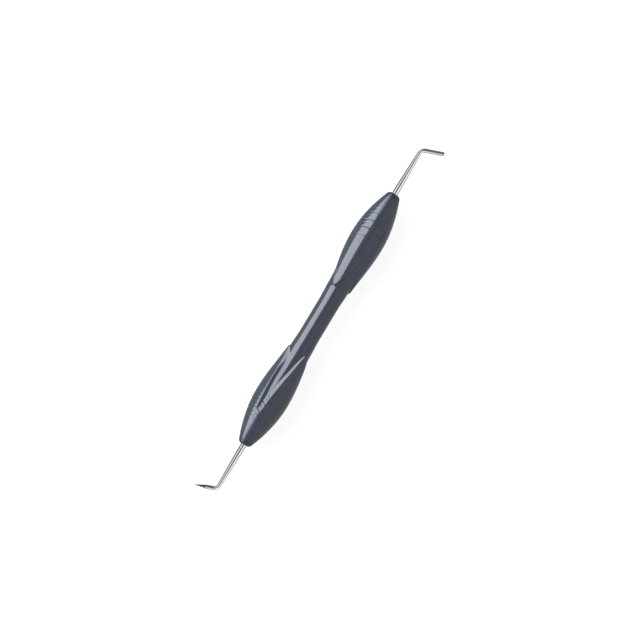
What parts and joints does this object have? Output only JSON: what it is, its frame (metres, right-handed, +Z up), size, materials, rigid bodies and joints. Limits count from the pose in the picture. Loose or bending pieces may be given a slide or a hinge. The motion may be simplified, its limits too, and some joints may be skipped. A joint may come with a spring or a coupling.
{
  "type": "double-ended scriber",
  "caption": "Slim hand scriber with soft bulb grips at both ends of a waisted handle, one bent sharp point and one bent square-cut rod in polished steel.",
  "frame": {"origin": "below the middle of the tool's box, on the surface that the tool lies on", "axes": "+X along the handle towards the blunt tip, +Z up out of the surface, blunt tip bent towards -Y and sharp tip towards +Y"},
  "size_m": [0.1514, 0.0162, 0.0132],
  "materials": {
    "soft_grip": "smooth dark slate-blue silicone with a soft gloss",
    "nose_ring": "dark moulded plastic, satin",
    "polished_steel": "fine polished stainless steel",
    "hard_point": "ground hard alloy, satin",
    "inner_metal": "plain turned aluminium",
    "rigid_carrier": "grey moulded plastic"
  },
  "bodies": {
    "root": {"waist_sleeve": "soft_grip", "blunt_end_grip": "soft_grip", "sharp_end_grip": "soft_grip", "blunt_end_nose_ring": "nose_ring", "sharp_end_nose_ring": "nose_ring", "blunt_tip": "polished_steel", "sharp_tip_shank": "polished_steel", "scribing_point": "hard_point", "core_tube": "inner_metal", "blunt_tip_socket": "inner_metal", "sharp_tip_socket": "inner_metal", "blunt_end_carrier": "rigid_carrier", "sharp_end_carrier": "rigid_carrier"}
  },
  "joints": []
}
